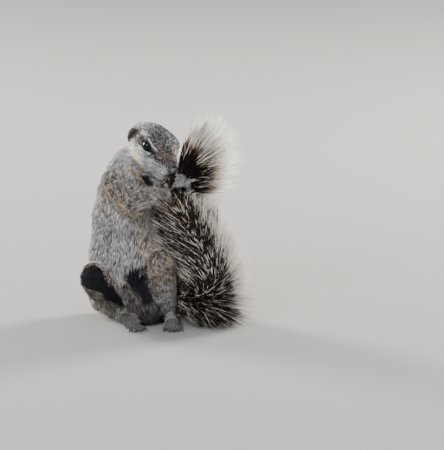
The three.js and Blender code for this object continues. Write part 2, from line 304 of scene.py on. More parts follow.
#           head neck trunk groin thigh shank foot arm forearm hand tail
SOFTNESS = [0.35, 0.8, 1, 1, 1, 0.9, 0.06, 0.9, 0.7, 0.04, 0.3]
finished(skin, "REMESH", mode="VOXEL", voxel_size=VOXEL * MM)
soft = body_map(places(skin))[0] @ np.array(SOFTNESS)
group = skin.vertex_groups.new(name="soft")
for level in range(1, 11):
    members = np.nonzero(np.round(soft * 10) == level)[0]
    group.add(members.tolist(), level / 10, "REPLACE")
finished(skin, "SMOOTH", factor=0.5, iterations=2)
finished(skin, "SMOOTH", factor=0.6, iterations=34, vertex_group="soft")
print("skin:", len(skin.data.polygons), "quads")

# %% Draw the skin in by the coat's depth
#             head neck trunk groin thigh shank foot arm forearm hand tail
COAT_DEPTH = [1.0, 2.4, 2.9, 1.8, 2.6, 1.9, 0.8, 2.1, 1.6, 0.6, 0.4]
points = places(skin)
shares, _ = body_map(points)
depth = shares @ np.array(COAT_DEPTH)
depth -= 0.4 * step(head_axes(points)[0], 8, 24) * shares[:, 0]  # thinner on the muzzle
GROIN_ON_ANKLE = (34, -30, 13)  # the lower belly rests against the left ankle here
depth *= step(np.linalg.norm(points - GROIN_ON_ANKLE, axis=1), 4, 11)
points -= facings(skin) * depth[:, None]
move_to(skin, points)
finished(skin, "SMOOTH", factor=0.5, iterations=3, vertex_group="soft")
skin.vertex_groups.clear()
smooth_faces(skin)
print("coat depth from", depth.min().round(1), "to", depth.max().round(1), "mm")

# %% [markdown]
# ## Face
# The sharp things of a face are pieces of their own. The eyeball is a sphere with a bulge for
# the cornea. An eye's opening is an almond, the shape that two equal arcs enclose, so the lids
# are a ring bent to that outline: thin at its edge, then lying on the ball and the skin.

# %% Eyeballs and lids
EYE = np.array([6.6, 14.4, 7.8])
BALL, CORNEA = 5.2, 0.05  # the ball's radius, and the cornea's bulge as a share of it
HALF_LENGTH, HALF_HEIGHT = 6.0, 3.5  # of the eye's opening
FRONT_CORNER = 1.9  # how far the opening's front corner is drawn out
ARC = (HALF_LENGTH ** 2 + HALF_HEIGHT ** 2) / (2 * HALF_HEIGHT)
DROP = ARC - HALF_HEIGHT
LID = 0.32  # half the thickness of a lid
RING = 10  # radius of the ring that a lid is bent from
ABOVE = 12  # where the search for the skin's height starts, over the eye's middle


def tree_of(piece, faces):
    """A search tree over some of a piece's faces, in millimetres."""
    return BVHTree.FromPolygons(places(piece).tolist(), faces)


def stand_at(points, place, axes):
    """Turns points whose x, y and z run along the three axes, and sets them at a place."""
    return place + points @ np.array(axes)


face_tree = tree_of(skin, [list(face.vertices) for face in skin.data.polygons])
eyes, lids, eye_middles, eye_ways = [], [], [], []
for side, sign in zip(SIDES, (1, -1)):
    middle = in_head(*EYE * (1, sign, 1))
    out = unit(0.50 * FORWARD + sign * RIGHT + 0.20 * UP)  # the way the eye looks
    front = FORWARD - 0.30 * UP
    front = unit(front - (front @ out) * out)  # to the eye's front corner
    over = np.cross(front, out) * -sign
    eye_middles.append(middle)
    eye_ways.append((out, front, over))
    eye = primitive("uv_sphere", f"eyeball_{side}", segments=40, ring_count=28, radius=BALL * MM)
    points = places(eye)
    polar = np.degrees(np.arccos(np.clip(points[:, 2] / BALL, -1, 1)))
    points *= 1 + CORNEA * (1 - step(polar, 20, 48))[:, None]
    move_to(eye, stand_at(points, middle, (front, over, out)))
    note(eye, polar=polar / 90)
    eyes.append(smooth_faces(eye))

    lid = primitive("torus", "lid", major_segments=64, minor_segments=16,
                    major_radius=RING * MM, minor_radius=LID * MM)
    points = places(lid)
    around = np.arctan2(points[:, 1], points[:, 0])
    bulge = np.hypot(points[:, 0], points[:, 1]) - RING
    outside = np.maximum(bulge, 0)
    wide = np.sqrt(ARC ** 2 - (DROP * np.cos(around)) ** 2) - DROP * np.abs(np.sin(around))
    wide += FRONT_CORNER * np.maximum(np.cos(around), 0) ** 24 + bulge + 8 * outside
    flat = np.column_stack([wide * np.cos(around), wide * np.sin(around)])
    above = middle + flat @ np.array([front, over]) + ABOVE * out
    skin_height = np.array([ABOVE - (face_tree.ray_cast(start, -out)[3] or ABOVE)
                            for start in above.tolist()])
    ball_height = np.sqrt(np.maximum((BALL + 0.3) ** 2 - wide ** 2, 0))
    height = np.maximum(ball_height, skin_height) + points[:, 2] - 0.6 * outside
    move_to(lid, stand_at(np.column_stack([flat, height]), middle, (front, over, out)))
    lids.append(smooth_faces(lid))
print("eyes at", [m.round(1).tolist() for m in eye_middles])


def over_eye(points):
    """Each point's place over the nearer eye, forward and up from the middle of the opening."""
    flat = np.full((len(points), 2), 99.0)
    for middle, (out, front, over) in zip(eye_middles, eye_ways):
        near = (np.linalg.norm(points - middle, axis=1) < 15) & ((points - middle) @ out > 0)
        flat[near] = (points[near] - middle) @ np.array([front, over]).T
    return flat


def lid_gap(flat):
    """How far a place over the eye is outside the edge of the opening."""
    return np.hypot(flat[:, 0], np.abs(flat[:, 1]) + DROP) - ARC


# %% [markdown]
# The nose is a small bare pad with two comma-shaped nostrils. The ears of this squirrel are no
# more than a low rim round a slit, so each is a flattened ball with a hollow pressed into it.

# %% Nose pad
NOSE_SIZE = (3.0, 4.5, 3.1)  # half its depth, width and height
NOSTRIL, NOSTRIL_SIZE = (1.5, 3.3, -0.9), (1.9, 1.0, 1.0)
nose = primitive("uv_sphere", "nose_pad", segments=48, ring_count=32, radius=MM)
points = places(nose)
points *= NOSE_SIZE
points[:, 1] *= 0.86 + 0.05 * points[:, 2]  # broader at the top
nostril = np.zeros(len(points))
for sign in (1, -1):
    gap = np.linalg.norm((points * (1, sign, 1) - NOSTRIL) / NOSTRIL_SIZE, axis=1)
    nostril = np.maximum(nostril, 1 - step(gap, 0.35, 1.2))
    points[:, 1] -= sign * 1.3 * (1 - step(gap, 0.3, 1.2))
cleft = np.abs(points[:, 1]) / 0.3
points[:, 0] -= 0.35 * (1 - step(cleft, 0.3, 1.2)) * (points[:, 2] < 0.6)
NOSE = in_head(32.2, 0, -2.8)
move_to(nose, stand_at(points, NOSE, (FORWARD, RIGHT, UP)))
# the nostrils' hollow is painted nearly black, as painted shade inside them
note(nose, hollow=nostril)
smooth_faces(nose)
print("nose pad:", len(nose.data.polygons), "faces")

# %% Ears
EAR = np.array([-15.0, 16.4, 6.6])
EAR_SIZE = (4.4, 3.0, 6.7)  # half its length, thickness and height
SLIT_SIZE = (2.4, 5.9)  # half the length and height of the slit
SLIT_DEPTH = 3.4
ears = []
for side, sign in zip(SIDES, (1, -1)):
    ear = primitive("uv_sphere", f"ear_flap_{side}", segments=56, ring_count=40, radius=MM)
    points = places(ear) * EAR_SIZE
    slit = np.hypot((points[:, 0] - 0.9 - 0.3 * points[:, 2]) / SLIT_SIZE[0],
                    (points[:, 2] - 0.4) / SLIT_SIZE[1])
    hollow = (1 - step(slit, 0.8, 1)) * (points[:, 1] > 0)
    points[:, 1] -= SLIT_DEPTH * hollow * (1 + 0.2 * points[:, 0] / 4.8)
    # shade is painted shadow: the hollow darkens most along the front of the slit, where the rim shades
    # it
    shade = hollow * (0.5 + 0.5 * step(points[:, 0] - 0.3 * points[:, 2], 0.3, 2.2))
    move_to(ear, stand_at(points, in_head(*EAR * (1, sign, 1)), (FORWARD, sign * RIGHT, UP)))
    note(ear, hollow=shade)
    if sign < 0:
        edited(ear, bpy.ops.mesh.flip_normals)
    finished(ear, "TRIANGULATE", quad_method="FIXED")
    ears.append(smooth_faces(ear))
print("ears:", [ear.name for ear in ears])

# %% [markdown]
# The mouth is a crease in the skin. A stroke along it presses in every vertex that lies close
# to the line, the way a modelling tool is drawn along clay.

# %% Mouth line
MOUTH_DEPTH = 0.7
points = places(skin)
normals = facings(skin)
for sign in (1, -1):
    line = [in_head(33, 0, -8.0), in_head(29, sign * 4.5, -9.6), in_head(22, sign * 8.0, -11.8),
            in_head(15, sign * 9.6, -13.4)]
    for start, end in zip(line, line[1:]):
        _, distance = along_bone(points, start, end)
        points -= normals * (MOUTH_DEPTH * (1 - step(distance, 0.4, 2.2)))[:, None]
move_to(skin, points)
print("mouth pressed in")

# %% [markdown]
# ## Claws
# One claw is modelled as a cone with a bend, then copied to the end of every toe and finger.
# The toes fan out from the ball of the foot and the fingers lie side by side.

# %% One claw
CLAW, CLAW_ROOT, CLAW_TIP = 5.4, 0.95, 0.12  # its length and the radius at each end
CLAW_BEND = 1.1
claw = primitive("cone", "claw_pattern", vertices=12, radius1=CLAW_ROOT * MM, radius2=CLAW_TIP * MM,
                 depth=CLAW * MM)
edited(claw, bpy.ops.mesh.subdivide, number_cuts=5)
points = places(claw)
share = points[:, 2] / CLAW + 0.5
points[:, 0] *= 0.8
points[:, 1] -= CLAW_BEND * share ** 2
points[:, 2] += CLAW / 2
move_to(claw, points)
print("claw:", len(claw.data.polygons), "faces")


# %% Where the toes and fingers end
PAST_TIP = 4.5  # how far a claw reaches past its toe
TOE_BACK = 14  # from the front of a foot back to the roots of its toes
FOOT_WIDTH, FAN = 10.5, 6  # across the roots of the toes, and how much wider at their tips
ROOT_HEIGHT, TIP_HEIGHT = 3.2, 2.3


def toe_ends(ankle, toes, sign):
    """The knuckle, fingertip and claw tip of each toe of a foot."""
    ankle, toes = np.array((ankle, toes), float)
    ahead = unit((toes - ankle) * (1, 1, 0))
    across = np.array([ahead[1], -ahead[0], 0]) * sign
    ball = toes - TOE_BACK * ahead
    ends = []
    for i in range(5):
        spread = i / 4 - 0.5
        root = ball + across * spread * FOOT_WIDTH
        root[2] = ROOT_HEIGHT
        tip = root + ahead * (15 - 16 * spread ** 2) + across * spread * FAN
        tip[2] = TIP_HEIGHT
        point = unit(ahead + across * spread * 0.3 - (0, 0, 0.15))
        ends.append((root, tip, tip + PAST_TIP * point))
    return ends


def finger_ends(knuckles, tips, spread, curl):
    """The same for a hand, whose knuckles lie in a row along the spread."""
    knuckles, tips, spread = np.array((knuckles, tips, spread), float)
    ends = []
    for i in range(4):
        shift = spread * (i / 3 - 0.5)
        root, tip = knuckles + shift, tips + shift * 1.25
        point = unit(unit(tip - root) + curl)
        ends.append((root, tip, tip + PAST_TIP * point))
    return ends


DIGITS = {
    "foot_right": toe_ends((-2, -19, 11), (15, -62, 4), 1),
    "foot_left": toe_ends((43, -22, 12), (46.5, -63, 4), -1),
    "hand_right": finger_ends((36, -71.5, 128), (43.5, -75, 127.5), (-1, 2, 8.8), (0.2, 0.7, -0.1)),
    "hand_left": finger_ends((60, -71, 139.5), (52.5, -77, 140.5), (3, 1, 7.6), (-0.2, 0.7, -0.2)),
}
claws = []
for limb, ends in DIGITS.items():
    copies = []
    for root, tip, end in ends:
        start = 0.09 * root + 0.42 * tip + 0.49 * end
        down = unit(end - start)
        side = unit(np.cross(down, (0, 0, 1)))
        piece = bpy.data.objects.new("claw", claw.data.copy())
        bpy.context.collection.objects.link(piece)
        move_to(piece, stand_at(places(claw), start - 1.2 * down,
                                (side, np.cross(down, side) * -1, down)))
        copies.append(piece)
    claws.append(smooth_faces(joined(copies, "claws_" + limb)))
bpy.data.objects.remove(claw)
print("claws on", [piece.name for piece in claws])

# %% [markdown]
# ## Markings
# The coat's colours lie in soft patches: a pale underside, a white line along each flank, rusty
# arms, a pale ring round the eye. Some patches are painted shade: slate inside the thighs, low in
# the groin and under the jaw, and a dark blue-grey over the crown. The left knee and shin carry
# painted highlights. One function gives the strength of every marking at any place, and both
# skin and hair call it, so they agree.

# %% Rows of whisker roots
SPOT_PITCH = 2.3
WHISKER_ROWS = 5
spots = []
for sign in (1, -1):
    for row in range(WHISKER_ROWS):
        for column in range(WHISKER_ROWS - row % 2):
            forward = 28 - SPOT_PITCH * (column + 0.5 * (row % 2))
            near = in_head(forward, sign * (7.5 + 0.8 * column), 1.2 - 0.95 * SPOT_PITCH * row)
            spots.append(np.array(face_tree.find_nearest(near.tolist())[0]))
spots = np.array(spots)
print("whisker spots:", len(spots))

# %% Where the markings are
skin = joined([skin, *lids], "skin")
MARKS = ["grey", "pale", "rusty", "tan", "white", "slate"]
TWIST = math.radians(14)  # the belly faces a little to the left of straight ahead
BELLY_WAY = np.array([math.sin(TWIST), -math.cos(TWIST), 0])


def region(shares, *names):
    return shares[:, [REGIONS.index(name) for name in names]].sum(1)


def patch(points, start, end, radius, soft):
    """1 within a radius of a line and fading to 0 over a soft edge."""
    return 1 - step(along_bone(points, np.asarray(start, float), np.asarray(end, float))[1],
                    radius - soft, radius + soft)


def ripple(points, size, seed):
    """Smooth noise from -1 to 1, made of waves about as long as a size in millimetres."""
    waves = np.random.default_rng(seed)
    total = 0
    for _ in range(6):
        way = unit(waves.normal(size=3)) * 2 * math.pi / (size * waves.uniform(0.7, 1.5))
        total = total + np.sin(points @ way + waves.uniform(0, 6.28))
    return total / 3.2


def ripples(points, size, seed):
    """The same noise in three directions."""
    return np.stack([ripple(points, size, seed + i) for i in range(3)], 1)


PAINTED_SHADE_INSIDE_THIGHS = [  # painted shade inside each thigh, between the legs: two ends, radius, softness
    ((-30, -50, 45), (-20, -47, 43), 8.5, 1.5),
    ((-29, -46, 53), (-22, -47, 53), 6.5, 1.5),
    ((-20, -47, 43), (-10, -38, 30), 8, 1.8),
    ((-10, -38, 30), (1, -33, 18), 6, 2),
    ((13, -43, 56), (20, -42, 56), 4, 1.5),
    ((10, -43, 50), (15, -42, 38), 7.5, 2.5),
    ((17, -42, 44), (22, -43, 26), 6.5, 2.5),
    ((1, -43.5, 42), (3, -43.8, 38), 2.6, 1.4),
]
CHEEK_FOLD = [(4.9, -42.6, 151.6), (13.2, -45.1, 140.5), (21.0, -43.2, 128.9)]
JAW_GAP = [  # the deep shade between the cheek and the arm
    ((15.5, -45, 141.3), (24, -44, 138.5), 2.0, 0.8),
    ((17.5, -44.5, 138.5), (26.5, -40.5, 133), 3.1, 0.9),
]
RUSTY_HAIR = [  # the outer side of each limb: two ends, radius, softness, strength
    ((-7, -44, 126), (4, -56, 108), 4.5, 4, 0.4),
    ((14, -64, 106), (33, -66, 114), 4.5, 4, 0.6),
    ((48, -26, 124), (62, -40, 106), 9, 6, 0.5),
    ((48, -36, 58), (54, -20, 18), 8, 5, 0.6),
    ((-22, -32, 16), (-13, -28, 9), 4, 3, 0.8),
    ((-36, -28, 30), (-20, -18, 10), 7, 5, 0.5),
]


def markings(points):
    shares, _ = body_map(points)
    trunk = region(shares, "trunk", "neck", "groin")
    head = region(shares, "head")
    rough = points + 0.7 * ripples(points, 3, 21)
    gap = np.max([patch(points, *place) for place in JAW_GAP], axis=0)
    fold = np.maximum(*[patch(points, *ends, 1.4, 0.5) for ends in zip(CHEEK_FOLD, CHEEK_FOLD[1:])])
    core = np.array([4.5, -8, 0]) + np.clip(points[:, 2:] - 64, 0, 90) * np.array([0.13, -0.2, 0])
    around = unit((points - core) * (1, 1, 0)) @ BELLY_WAY + 0.08 * ripple(points, 22, 3)
    f, r, u = head_axes(points)
    face = np.column_stack([f, np.abs(r), u])  # so that a patch lies on both sides
    eye_place = over_eye(points)
    edge = lid_gap(eye_place)
    to_spot = np.min([np.linalg.norm(points - spot, axis=1) for spot in spots], axis=0)
    strength = {}
    # grey: on the head it is painted shade, a dark blue-grey over the crown that fades out towards the
    # nape; on the neck, limbs and feet it greys the coat
    strength["grey"] = np.max([
        head * (0.95 - 0.55 * step(-f, 13, 25)), 0.35 * region(shares, "neck"),
        0.4 * region(shares, "shank", "hand"), 0.55 * region(shares, "forearm", "arm"),
        0.75 * region(shares, "foot"), 0.45 * region(shares, "thigh", "groin")], axis=0)
    low_on_head = np.abs(r) - 0.75 * u + 0.1 * f + 2 * ripple(points, 12, 5)
    # the pale underside is held back in the groin, where painted shade darkens it
    strength["pale"] = (trunk * step(around, -0.55, -0.25) * (1 - 0.8 * region(shares, "groin"))
                        + 0.86 * head * step(low_on_head, 13, 20)
                        + 0.24 * region(shares, "forearm", "arm", "shank", "foot")
                        + 0.65 * region(shares, "hand")
                        + 0.15 * region(shares, "thigh")
                        # the pale patch on the lower left shin is a painted highlight
                        + 0.75 * patch(points, (40, -46, 34), (43, -40, 14), 9, 5))
    flank = 1 - step(np.abs(around + 0.62), 0.05, 0.13)
    strength["white"] = np.max([
        trunk * flank * step(points[:, 2], 30, 45) * (1 - step(points[:, 2], 122, 134)),
        0.95 * patch(face, (17, 10, -4), (27, 7, -6), 5.4, 2.2),
        patch(eye_place, (-2.5, 5.4), (9.4, 4.4), 0.75, 0.5),
        patch(eye_place, (-3.6, -6.3), (7.6, -2.2), 1.1, 0.6),
        0.95 * patch(face, (-3.5, 13.6, 13), (0.5, 13.5, 13.5), 2.9, 1.0),
        0.8 * patch(face, (0, 17, 1.5), (13, 14, 3), 1.6, 0.8),
        head * step(f, 10, 20) * step(-u, 8, 11) * 0.8,
        0.75 * patch(face, (-8, 0, -18), (14, 0, -20), 9, 4),
        0.6 * fold,
    ], axis=0)
    # in the gap under the jaw this rusty brown is painted shade, with slate laid over it
    strength["rusty"] = np.max(
        [share * patch(points, *place) for *place, share in RUSTY_HAIR]
        + [0.28 * patch(face, (17, 9, 9.5), (25, 5, 5), 4.5, 3), 0.9 * gap], axis=0)
    strength["tan"] = np.max([
        0.45 * patch(points, (17, -42, 94), (25, -36, 74), 9, 7),
        0.55 * patch(face, (2, 15, -8), (11, 12, -12), 6, 5) * (1 - gap),
        # the tan patch on the outer side of the left knee is a painted warm highlight
        0.5 * patch(points, (42, -50, 62), (50, -42, 40), 6, 4),
        0.6 * patch(points, (0, -48, 120), (12, -58, 106), 7, 5),
        fold, 0.35 * patch(points, (-14, -36, 128), (-12, -36, 112), 9, 6),
    ], axis=0)
    # slate: the real dark lids, eye corners and whisker spots, plus painted shade inside the thighs,
    # low in the groin and in the gap under the jaw
    strength["slate"] = np.max(
        [patch(rough, *place) for place in PAINTED_SHADE_INSIDE_THIGHS]
        + [0.93 * gap, 0.6 * region(shares, "groin") * (1 - step(points[:, 2], 34, 44)),
           0.4 * patch(points, (-28, -44, 34), (-8, -33, 17), 7, 5), 1 - step(edge, 0.5, 1.0),
           patch(eye_place, (5, 0), (10.4, 1.2), 1.1, 0.5),
           patch(eye_place, (-6, 0.4), (-7.5, 0.5), 0.8, 0.5),
           patch(eye_place, (13.3, -0.6), (13.7, -0.6), 1.1, 0.5),
           0.75 * patch(eye_place, (-10.5, 3.5), (-9, -3), 2.4, 1.5),
           0.95 * head * (1 - step(to_spot, 0.55, 0.9))], axis=0)
    return {name: np.clip(strength[name], 0, 1) for name in MARKS}


note(skin, **markings(places(skin)), along=np.zeros(len(skin.data.vertices)),
     chance=0.5 + 0.4 * ripple(places(skin), 5, 9))
print("markings:", MARKS)

# %% [markdown]
# ## Unwrap the skin
# Hair is coloured where it grows. The skin is opened out flat once, and later every tuft gets a
# tiny patch of the same map at the place of its root.

# %% A map of the skin
finished(skin, "TRIANGULATE")
edited(skin, bpy.ops.uv.smart_project, angle_limit=math.radians(72), island_margin=0.002)
skin.data.uv_layers[0].name = "OFBake"
corners = triangles_of(skin)
skin_map = read(skin.data.uv_layers[0].uv, "vector", 2).reshape(-1, 3, 2)
skin_tree = tree_of(skin, corners.tolist())


def map_under(points):
    """The place on the skin's map under each point."""
    return skin_map[[skin_tree.find_nearest(point)[2] for point in points.tolist()]].mean(1)


print("skin triangles:", len(corners))

# %% [markdown]
# ## Coat
# Hair is made as many small solid spikes, called tufts. A tuft starts in the skin, rises a
# little and then lies along the body, towards the tail and down each limb. Neighbours share a
# lock, so their tips draw together. All the tufts of a piece are written as one mesh, because
# a hundred thousand separate objects would be far too slow.

# %% Build a mesh from curved spikes
LEAST_HEIGHT = 0.3  # nothing reaches below the floor
TUFT_ON_MAP = 0.003  # the width of a tuft's patch on the map


def spikes(name, roots, bends, tips, width, normals, rings, root_map, marks, tint):
    """One mesh of three-sided spikes along the curves from roots to tips."""
    count = len(roots)
    shares = np.linspace(0, 1, rings + 1)
    points = np.empty((count, rings * 3 + 1, 3))
    sway = unit(np.cross(tips - roots, normals))
    for i, t in enumerate(shares[:-1]):
        middle = on_curve(t, roots, bends, tips)
        heading = unit((1 - t) * (bends - roots) + t * (tips - bends))
        lift = np.cross(sway, heading)
        girth = (width * (0.62 + 1.5 * t - 2.1 * t * t))[:, None]
        points[:, i * 3] = middle - 0.5 * girth * sway
        points[:, i * 3 + 1] = middle + 0.5 * girth * sway
        points[:, i * 3 + 2] = middle + 0.4 * girth * lift
    points[:, -1] = tips
    points[..., 2] = np.maximum(points[..., 2], LEAST_HEIGHT)
    pattern = [(0, 1, 2)]
    for i in range(rings - 1):
        for j in range(3):
            a, b = i * 3 + j, i * 3 + (j + 1) % 3
            pattern += [(a, a + 3, b), (b, a + 3, b + 3)]
    last = (rings - 1) * 3
    pattern += [(last + j, rings * 3, last + (j + 1) % 3) for j in range(3)]
    pattern = np.array(pattern)
    triangles = (pattern[None] + np.arange(count)[:, None, None] * (rings * 3 + 1)).reshape(-1, 3)
    mesh = bpy.data.meshes.new(name)
    mesh.from_pydata((points * MM).reshape(-1, 3), [], triangles, shade_flat=False)
    piece = bpy.data.objects.new(name, mesh)
    bpy.context.collection.objects.link(piece)
    per_tuft = np.append(np.repeat(shares[:-1], 3), 1)
    note(piece, along=np.tile(per_tuft, count), chance=np.repeat(tint, rings * 3 + 1),
         **{mark: np.repeat(value, rings * 3 + 1) for mark, value in marks.items()})
    across = np.append(np.tile([0, 1, 0.5], rings), 0.5)
    cell = TUFT_ON_MAP * (np.column_stack([across, per_tuft]) - 0.5)
    flat = mesh.uv_layers.new(name="OFBake")
    spread = (root_map[:, None, None] + cell[pattern][None]).reshape(-1, 2)
    flat.uv.foreach_set("vector", spread.astype(np.float32).ravel())
    return piece


# %% Where the roots are
def rooted(piece, density):
    """Roots spread over a piece, so many to a square millimetre of each triangle."""
    corners = np.sort(triangles_of(piece), axis=1)
    order = np.lexsort(corners.T)  # a primitive's faces come in another order every run
    corners, density = corners[order], density[order]
    corner = places(piece)[corners]
    running = np.cumsum(areas(corner) * density)
    count = int(running[-1])
    face = np.searchsorted(running, (np.arange(count) + chance.random(count)) / count * running[-1])
    face = np.minimum(face, len(corner) - 1)
    a, b = chance.random((2, count))
    a, b = np.where(a + b > 1, (1 - a, 1 - b), (a, b))
    share = np.stack([1 - a - b, a, b], 1)[..., None]
    normal = unit((facings(piece)[corners[face]] * share).sum(1))
    return (corner[face] * share).sum(1), normal


def drawn_together(roots, tips, size, pull):
    """Tips move towards the middle tip of their lock, and a number is drawn for each lock."""
    cell = np.floor(roots / size + 0.4 * ripples(roots, size * 2.5, 1))
    _, lock = np.unique(cell, axis=0, return_inverse=True)
    lock = lock.ravel()
    number = np.bincount(lock)
    middle = np.stack([np.bincount(lock, tips[:, i]) / number for i in range(3)], 1)
    return tips + pull * (middle[lock] - tips), chance.random(len(number))[lock]


#         head neck trunk groin thigh shank foot arm forearm hand tail
LENGTH = [2.9, 8.0, 10.0, 8.0, 7.2, 5.8, 2.2, 6.6, 6.0, 1.9, 5.0]
WIDTH = [0.62, 0.76, 0.84, 0.76, 0.72, 0.64, 0.48, 0.70, 0.66, 0.38, 0.5]
DENSITY = [8.0, 1.9, 1.4, 1.9, 1.85, 2.4, 5.0, 2.2, 2.6, 8.0, 0.0]


def over_ear(points):
    """1 on the edge of the ear's slit and more farther from it, on either side of the head."""
    f, r, u = head_axes(points, in_head(EAR[0], 0, EAR[2]))
    gap = np.hypot((f - 1.0 - 0.3 * u) / 3.0, (u - 0.4) / 6.3)
    return np.where(np.abs(r) > 10, gap, 9)


middles = places(skin)[corners].mean(1)
shares, _ = body_map(middles)
density = shares @ np.array(DENSITY)
density *= 1 + 0.35 * step(head_axes(middles)[0], 8, 24) * shares[:, 0]
density *= lid_gap(over_eye(middles)) > 0.45
density *= over_ear(middles) > 1.15
density *= region(shares, "tail") < 0.5
off_nose = np.stack(head_axes(middles, NOSE), 1) / (3.2, 4.6, 3.2)
density *= np.linalg.norm(off_nose, axis=1) > 1
density *= middles[:, 2] > 1.0  # none on the part that stands on the floor
roots, normals = rooted(skin, density)
for ear in ears:
    bare = read(ear.data.attributes["hollow"].data, "value", 1)[:, 0]
    rim = rooted(ear, 16.0 * (bare[triangles_of(ear)].max(1) < 0.4))
    roots, normals = np.concatenate([roots, rim[0]]), np.concatenate([normals, rim[1]])
print("roots:", len(roots))

# %% Lay the tufts
def body_tufts(roots, normals, lock_size, pull, clumped):
    """Roots, bends, tips, widths, markings and tints of the tufts that grow here."""
    shares, lie = body_map(roots)
    short = 1 - 0.45 * step(head_axes(roots)[0], 6, 26) * shares[:, 0]
    short *= 0.35 + 0.65 * step(lid_gap(over_eye(roots)), 0.4, 4)
    short *= 0.6 + 0.4 * step(over_ear(roots), 1.1, 2)
    marks = markings(roots)
    short *= 1 - 0.55 * step(marks["slate"], 0.6, 0.9) * (1 - shares[:, 0])
    length = shares @ np.array(LENGTH) * short * chance.uniform(0.7, 1.15, len(roots))
    rise = shares @ np.array(COAT_DEPTH) * short * chance.uniform(0.35, 1.15, len(roots))
    wander = ripples(roots, 17, 11) * 0.28
    wander += ripples(roots, 5, 14) * 0.16
    wander += chance.normal(0, 0.12, roots.shape)
    lie = lie + wander
    lie = unit(lie - (lie * normals).sum(1)[:, None] * normals)
    run = np.sqrt(np.maximum(length ** 2 - rise ** 2, 0.2))[:, None]
    bends = roots + 0.38 * run * lie + 0.85 * rise[:, None] * normals
    tips = roots + run * lie + rise[:, None] * normals
    tips, lock = drawn_together(roots, tips, lock_size, pull)
    tint = (1 - clumped) * chance.random(len(roots)) + clumped * lock
    width = shares @ np.array(WIDTH) * chance.uniform(0.75, 1.25, len(roots))
    width *= np.sqrt(short)
    return roots - 0.3 * normals, bends, tips, width, marks, tint


HAIRY = {  # regions, lock size in mm, pull of its tips, share of its one tint, rings of a tuft
    "head": (("head",), 1.05, 0.45, 0.75, 1),
    "neck": (("neck",), 1.7, 0.5, 0.6, 2),
    "trunk": (("trunk", "groin"), 1.8, 0.5, 0.6, 2),
    "legs": (("thigh", "shank"), 1.6, 0.5, 0.6, 2),
    "arms": (("arm", "forearm"), 1.6, 0.5, 0.6, 2),
    "paws": (("foot", "hand"), 1.0, 0.3, 0.3, 1),
}
MOST_TUFTS = 19000
shares, _ = body_map(roots)
owner = np.argmax([region(shares, *row[0]) for row in HAIRY.values()], axis=0)
coats = []
for i, (part, (_, lock_size, pull, clumped, rings)) in enumerate(HAIRY.items()):
    members = np.nonzero(owner == i)[0]
    members = members[np.argsort(-roots[members, 2])]
    for j, chosen in enumerate(np.array_split(members, math.ceil(len(members) / MOST_TUFTS))):
        start, bends, tips, width, marks, tint = body_tufts(roots[chosen], normals[chosen],
                                                            lock_size, pull, clumped)
        coats.append(spikes(f"coat_{part}_{j + 1}", start, bends, tips, width, normals[chosen],
                            rings, map_under(roots[chosen]), marks, tint))
print("tufts laid on", list(HAIRY))

# %% A lock of long straw-coloured hair in the fold behind the cheek
FOLD_HAIRS = 320
fold_line = np.array(CHEEK_FOLD)
share = chance.uniform(0, 0.72, FOLD_HAIRS)
fold_roots, fold_tips = (
    on_line(t, (0, 0.5, 1), fold_line) + chance.normal(0, 0.95, (FOLD_HAIRS, 3))
    for t in (share, np.minimum(share + 0.4, 1.05)))
fold_roots = np.array([skin_tree.find_nearest(root)[0] for root in fold_roots.tolist()])
fold_normals = np.array([skin_tree.find_nearest(root)[1] for root in fold_roots.tolist()])
fold_tips += 3.0 * fold_normals
coats.append(spikes("coat_fold", fold_roots - 0.3 * fold_normals,
                    (fold_roots + fold_tips) / 2 + 1.0 * fold_normals, fold_tips,
                    chance.uniform(0.7, 1.05, FOLD_HAIRS), fold_normals, 2, map_under(fold_roots),
                    {mark: np.full(FOLD_HAIRS, {"tan": 0.95, "white": 0.25}.get(mark, 0))
                     for mark in MARKS}, chance.uniform(0.45, 0.74, FOLD_HAIRS)))
print("coat pieces:", {coat.name: len(coat.data.polygons) for coat in coats})

# %% [markdown]
# ## Brush of the tail
# The tail's hair is up to six times as long as the body's. It is aimed: a tip is chosen on the
# outline of the solid brush, and the root is set further back along the tail, so the hair
# leans towards the tail's end and the brush keeps its true outline from every side.

# %% Outline of the brush
brush_form = copies_of(BRUSH + ["hand_right"], "brush_form")
finished(brush_form, "REMESH", mode="VOXEL", voxel_size=1.6 * MM)
finished(brush_form, "SMOOTH", factor=0.5, iterations=3)
finished(brush_form, "TRIANGULATE", quad_method="FIXED")
form_corner = places(brush_form)[triangles_of(brush_form)]
form_area = areas(form_corner)
TAIL_TUFTS = 36000
picked = chance.choice(len(form_area), TAIL_TUFTS, p=form_area / form_area.sum())
aims = (form_corner[picked] * chance.dirichlet((1, 1, 1), TAIL_TUFTS)[..., None]).sum(1)
bpy.data.objects.remove(brush_form)
GRIP = ((29, -69, 126), (47, -75, 128))
near_hand = 1 - step(along_bone(aims, *GRIP)[1], 8, 14)
aims += near_hand[:, None] * (-3, -5, 1)  # the hair hangs over the hand that grips it
UNDER_LEFT_HAND = ((61, -70, 126), (50, -75, 127))
under_left = 1 - step(along_bone(aims, *UNDER_LEFT_HAND)[1], 4, 8)
aims += under_left[:, None] * (0, -6, 2)
OVER_RIGHT_ARM = 4.5  # how far the brush's middle overlaps the right arm
high = step(aims[:, 2], 60, 85) * (1 - step(aims[:, 2], 118, 138))
aims[:, 0] -= OVER_RIGHT_ARM * high * (1 - step(aims[:, 0], 34, 56))
print("brush area:", round(form_area.sum() / 100), "square cm")

